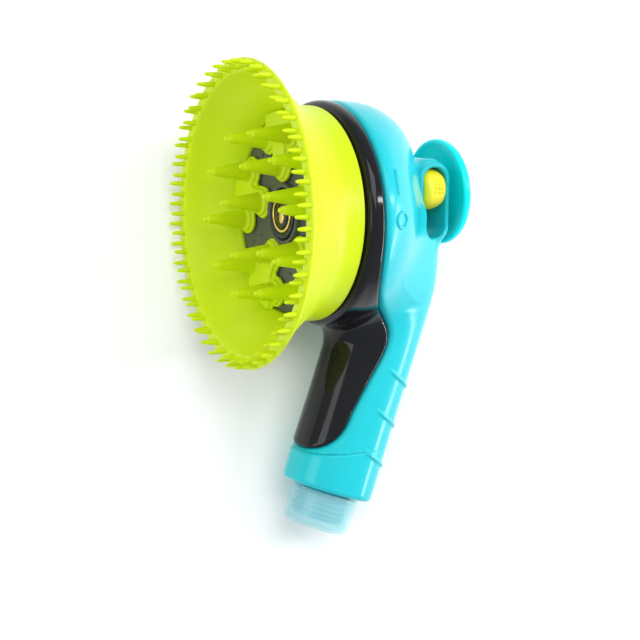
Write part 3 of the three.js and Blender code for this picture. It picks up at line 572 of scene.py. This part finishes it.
shield_points[:, 1] *= 1 - (1 - RIM_OVAL) * along * reach ** 2 * (3 - 2 * reach)
piece("splash_shield_look", shield_points, shield_quads, LIME, "shield", ["splash_shield"],
      "lime_silicone")

# Faceplate, badge, ring and drop.
plate_outline = [
    [7.8, 0.01], [7.8, PLATE_R], [PLATE_X - 0.3, PLATE_R], [PLATE_X, PLATE_R - 0.3],
    [PLATE_X, 30], [PLATE_X, 20], [PLATE_X, BOSS_R + 0.5], [PLATE_X + 0.3, BOSS_R],
    [PLATE_X + 1.6, BOSS_R], [PLATE_X + BOSS_RISE, BOSS_R - 0.3],
    [PLATE_X + BOSS_RISE, BADGE_R + 0.9], [PLATE_X + 1.6, BADGE_R + 0.4],
    [PLATE_X, BADGE_R + 0.3], [PLATE_X, 4], [PLATE_X, 0.01],
]
points, quads = turned_about_x(plate_outline, 160)
piece("faceplate_look", points, outward(points, quads), GREY, "sprayer", ["spray_faceplate"],
      "grey_faceplate")

# Nozzle holes drawn as thin, nearly black discs lying on the faceplate: painted shade in place of real holes.
dots = []
for ring, count in NOZZLE_RINGS:
    for k in range(count):
        y, z = around_head(ring, (k + 0.5) * 360 / count)
        pit = [[PLATE_X - 0.02, NOZZLE_R + 0.12], [PLATE_X + 0.06, NOZZLE_R],
               [PLATE_X + 0.05, 0.3], [PLATE_X + 0.04, 0.01]]
        pit_points, pit_quads = turned_about_x(pit, 12, closed=False)
        dots.append((pit_points + [0, y, z], pit_quads[:, ::-1]))
piece("nozzle_hole_shades_look", *joined(dots), NOZZLE_HOLE_SHADE, "sprayer", [], "grey_faceplate")

badge_outline = [
    [BADGE_X, 0.01], [BADGE_X, BADGE_R], [BADGE_X + 0.55, BADGE_R], [BADGE_X + 0.78, BADGE_R - 0.3],
    [BADGE_X + 0.8, 6.9], [BADGE_X + 0.5, 6.8], [BADGE_X + 0.5, 5.4], [BADGE_X + 0.8, 5.3],
    [BADGE_X + 0.8, 3], [BADGE_X + 0.8, 0.01],
]
points, quads = turned_about_x(badge_outline, 128)
piece("badge_look", points, outward(points, quads), BLACK, "sprayer", ["emblem_badge"],
      "black_gloss")
ring_outline = rounded([[BADGE_X + 0.5, 6.6], [BADGE_X + 1.05, 6.6], [BADGE_X + 1.05, 5.6],
                        [BADGE_X + 0.5, 5.6]])
points, quads = turned_about_x(ring_outline, 128)
piece("badge_ring_look", points, outward(points, quads), GOLD, "sprayer", ["badge_ring"],
      "gold_ring")

# A plain water drop on the badge: round below, drawn out to a point above.
drop_rows = []
for rise, scale in ((0.8, 1.0), (1.0, 0.96), (1.06, 0.7), (1.07, 0.35), (1.08, 0.01)):
    angles = np.arange(48) * 2 * math.pi / 48
    side = 2.3 * np.sin(angles) * np.sin(angles / 2) ** 1.4
    tall = 3.4 * np.cos(angles)
    drop_rows.append(np.stack([np.full(48, BADGE_X + rise), side * scale, tall * scale], 1))
drop_quads = []
for k in range(len(drop_rows) - 1):
    a, b = k * 48 + np.arange(48), k * 48 + (np.arange(48) + 1) % 48
    drop_quads.append(np.stack([b, a, a + 48, b + 48], 1))
piece("water_drop_look", np.concatenate(drop_rows), np.concatenate(drop_quads), GOLD, "sprayer",
      [], "gold_ring")

# Switch knob.
points, quads, normals = surface(
    knob_field, [NECK_X - 6, -16, KNOB_Z - 9], [NECK_X + 6, 16, KNOB_Z + 9],
    0.25)
piece("switch_knob_look", points, quads, YELLOW, "slider", ["slider_knob"], "yellow_switch",
      normals)

# Finger disc, turned about its own axis, which runs to the rear and leans a little.
disc_outline = [
    [1.7, -3.9], [5.4, -3.9], [6.0, -2.6], [6.6, -1.6], [12, -1.1], [16.6, -1.9], [18.4, -3.0],
    [DISC_R - 0.5, -2.9], [DISC_R, -2.3], [DISC_R, -1.0], [DISC_R - 0.4, -0.1],
    [DISC_R - 1.4, 0.1], [16, 0.9], [9, 1.7], [4.2, 1.9], [3.8, 1.7], [3.8, 0.2], [1.7, 0.2],
]
outline = rounded(disc_outline)
points, quads = turned_about_x(np.stack([-outline[:, 1], outline[:, 0]], 1), 160)
lean = math.radians(DISC_TILT)
x, z = points[:, 0].copy(), points[:, 2].copy()
points[:, 0] = DISC_X + x * math.cos(lean) + z * math.sin(lean)
points[:, 2] = DISC_Z - x * math.sin(lean) + z * math.cos(lean)
piece("grip_disc_look", points, outward(points, quads), DISC, "sprayer", ["grip_disc"],
      "cyan_gloss")


# Raised marks beside the switch: a bar for on and a ring for off.
MARK_HALF_WIDTH, MARK_RISE = 0.7, 0.75
BAR_X, BAR_LOW, BAR_HIGH = -13, 8.6, 17.4
OFF_X, OFF_Z, OFF_R = -14.6, 0, 2.7


def on_moulding(x, z):
    """The places on the upper side of the moulding over those x and z, and the normals."""
    low, high = np.zeros(len(x)), np.full(len(x), HEAD_R + 1)
    for _ in range(24):
        middle = (low + high) / 2
        inside = moulding_field(np.stack([x, middle, z], 1)) < 0
        low, high = np.where(inside, middle, low), np.where(inside, high, middle)
    places = np.stack([x, low, z], 1)
    slope = gradient(moulding_field, places)
    return places, slope / np.linalg.norm(slope, axis=1)[:, None]


def raised_line(x, z, closed):
    """A low rounded bead along a path on the moulding."""
    places, normals = on_moulding(np.asarray(x, float), np.asarray(z, float))
    if closed:
        along = np.roll(places, -1, axis=0) - np.roll(places, 1, axis=0)
    else:
        along = np.gradient(places, axis=0)
    side = np.cross(normals, along)
    side /= np.linalg.norm(side, axis=1)[:, None]
    rows, section = [], np.linspace(0, math.pi, 9)
    taper = np.ones(len(places)) if closed else \
        np.sqrt(1 - np.linspace(-1, 1, len(places)) ** 12 * 0.999)
    for angle in section:
        rows.append(places + side * (math.cos(angle) * MARK_HALF_WIDTH * taper)[:, None]
                    + normals * (math.sin(angle) * MARK_RISE * taper - 0.08)[:, None])
    count = len(places)
    quads = []
    for k in range(len(section) - 1):
        a = np.arange(count if closed else count - 1)
        b = (a + 1) % count
        quads.append(np.stack([a, b, b + count, a + count], 1) + k * count)
    return np.concatenate(rows), np.concatenate(quads)


bar_z = np.linspace(BAR_LOW, BAR_HIGH, 40)
ring_angles = np.arange(48) * 2 * math.pi / 48
marks = [raised_line(np.full(40, BAR_X), bar_z, False),
         raised_line(OFF_X + OFF_R * np.sin(ring_angles), OFF_Z + OFF_R * np.cos(ring_angles),
                     True)]
for k, name in enumerate(("on_mark_look", "off_mark_look")):
    piece(name, *marks[k], CYAN, "sprayer", [], "cyan_gloss")


# Hose inlet and cap, about the handle's axis.
def in_handle(points):
    """From x down the axis, y, and z to the front, to the sprayer's own axes."""
    side = np.array([0, 1.0, 0])
    return (COLLAR - points[:, :1] * UP_HANDLE + points[:, 1:2] * side
            + points[:, 2:] * HANDLE_FRONT)


thread_steps, thread_rows = 72, 96
depths = np.linspace(-0.2, THREAD_LENGTH, thread_rows)
angles = np.arange(thread_steps) * 2 * math.pi / thread_steps
depth_grid, angle_grid = np.meshgrid(depths, angles, indexing="ij")
phase = (depth_grid / THREAD_PITCH + angle_grid / (2 * math.pi)) % 1
ridge = np.clip(1.3 - np.abs(phase * 2 - 1) * 1.8, 0, 1)
fade = np.clip(np.minimum(depth_grid / 1.2, (THREAD_LENGTH - depth_grid) / 1.4), 0, 1)
radii = THREAD_MINOR + (THREAD_MAJOR - THREAD_MINOR) * ridge * fade
rows = [np.stack([depth_grid[k], radii[k] * np.cos(angles), radii[k] * np.sin(angles)], 1)
        for k in range(thread_rows)]
for depth, radius in ((THREAD_LENGTH, INLET_BORE_R + 0.3), (THREAD_LENGTH - 0.3, INLET_BORE_R),
                      (4.2, INLET_BORE_R), (4.1, 0.02)):
    rows.append(np.stack([np.full(thread_steps, depth), radius * np.cos(angles),
                          radius * np.sin(angles)], 1))
thread_quads = []
for k in range(len(rows) - 1):
    a = k * thread_steps + np.arange(thread_steps)
    b = k * thread_steps + (np.arange(thread_steps) + 1) % thread_steps
    thread_quads.append(np.stack([a, b, b + thread_steps, a + thread_steps], 1))
points, quads = np.concatenate(rows), np.concatenate(thread_quads)
piece("inlet_thread_look", in_handle(points), quads, CYAN, "sprayer", ["inlet_stub"],
      "cyan_gloss")

cap_outline = [
    [CAP_LENGTH, 0.01], [CAP_LENGTH, 5], [CAP_LENGTH, CAP_END_R - 1.8],
    [CAP_LENGTH - 0.5, CAP_END_R - 0.5], [CAP_LENGTH - 1.8, CAP_END_R], [8, 12.42],
    [3, 12.6], [1.6, 12.64], [0.4, CAP_MOUTH_R], [0.35, CAP_MOUTH_R - CAP_WALL],
    [3, CAP_MOUTH_R - CAP_WALL - 0.2], [8, 11.25], [CAP_LENGTH - 2, CAP_END_R - CAP_WALL],
    [CAP_LENGTH - CAP_WALL, CAP_END_R - CAP_WALL - 0.6], [CAP_LENGTH - CAP_WALL, 5],
    [CAP_LENGTH - CAP_WALL, 0.01],
]
points, quads = turned_about_x(cap_outline, 128, closed=False)
piece("thread_cap_look", in_handle(points), quads, FROSTED, "cap", ["thread_cap"],
      "frosted_cap")

# Inner pieces keep their CAD shapes and take their own finishes.
INNER = {
    WHITE: ["spray_chamber", "valve_body", "valve_plug", "valve_spool", "water_tube"],
    SEAL: ["faceplate_gasket", "spout_seal", "spool_seal", "valve_gasket", "inlet_gasket"],
    METAL: ["faceplate_screw", "slider_arm", "disc_screw", "filter_screen"]
           + [f"chamber_screw_{k}" for k in range(1, 5)],
}
for material, names in INNER.items():
    for name in names:
        mesh = frame["nodes"][name].data
        mesh.materials.clear()
        mesh.materials.append(material)

# ------------------------------------------------------------------ floor, light, camera
floor_mesh = bpy.data.meshes.new("floor")
FLOOR_HALF, FLOOR_GAP = 3.0, 0.0003
floor_corners = [(x * FLOOR_HALF, y * FLOOR_HALF, 0) for x, y in ((-1, -1), (1, -1), (1, 1), (-1, 1))]
floor_mesh.from_pydata(floor_corners, [], [(0, 1, 2, 3)])
floor_mesh.materials.append(finish("table", (0.97, 0.97, 0.97), 0.5, other=(0.96, 0.96, 0.96),
                                   grain=0.02))
floor = bpy.data.objects.new("floor", floor_mesh)
floor.location.z = cad_box[0][2] - FLOOR_GAP
bpy.context.scene.collection.objects.link(floor)

world = bpy.data.worlds.new("studio")
world.use_nodes = True
world.node_tree.nodes["Background"].inputs["Color"].default_value = (0.94, 0.985, 1, 1)
world.node_tree.nodes["Background"].inputs["Strength"].default_value = 0.59
bpy.context.scene.world = world
bpy.context.scene.view_settings.view_transform = "Standard"

target = own_to_row([[-10, 0, -10]])[0]


def softbox(name, offset, size, power):
    light = bpy.data.lights.new(name, "AREA")
    light.shape = "RECTANGLE"
    light.size, light.size_y = size
    light.energy = power
    obj = bpy.data.objects.new(name, light)
    obj.location = Vector(target) + Vector(offset)
    obj.rotation_euler = (-Vector(offset)).to_track_quat("-Z", "Y").to_euler()
    bpy.context.scene.collection.objects.link(obj)


softbox("top softbox", (0.10, 0.25, 0.75), (0.6, 0.5), 3.2)
softbox("right softbox", (0.7, 0.1, 0.45), (0.06, 0.6), 2.8)
softbox("left softbox", (-0.7, -0.1, 0.5), (0.4, 0.6), 2.0)
# A narrow strip behind the handle, caught by the rounded edge of the bezel.
EDGE_LIGHT_WAY, EDGE_LIGHT_FAR = np.array([-0.9, 0.37, -0.2]), 0.6
softbox("edge softbox", turn @ EDGE_LIGHT_WAY * EDGE_LIGHT_FAR, (0.4, 0.03), 1.3)

# The camera, in the sprayer's own axes: where it stands and its right and down directions.
CAMERA_AT = [251.3, 437.9, 34.1]
CAMERA_RIGHT = np.array([-0.864, 0.503, 0.017])
CAMERA_DOWN = np.array([0.057, 0.132, -0.990])
FOCAL_LENGTH = 78.75
right = Vector(turn @ CAMERA_RIGHT).normalized()
upward = Vector(-(turn @ CAMERA_DOWN))
upward = (upward - upward.dot(right) * right).normalized()
camera_data = bpy.data.cameras.new("camera")
camera_data.sensor_width = 36
camera_data.lens = FOCAL_LENGTH
camera = bpy.data.objects.new("camera", camera_data)
camera.matrix_world = Matrix.Translation(own_to_row([CAMERA_AT])[0]) @ \
    Matrix((right, upward, right.cross(upward))).transposed().to_4x4()
bpy.context.scene.collection.objects.link(camera)
bpy.context.scene.camera = camera
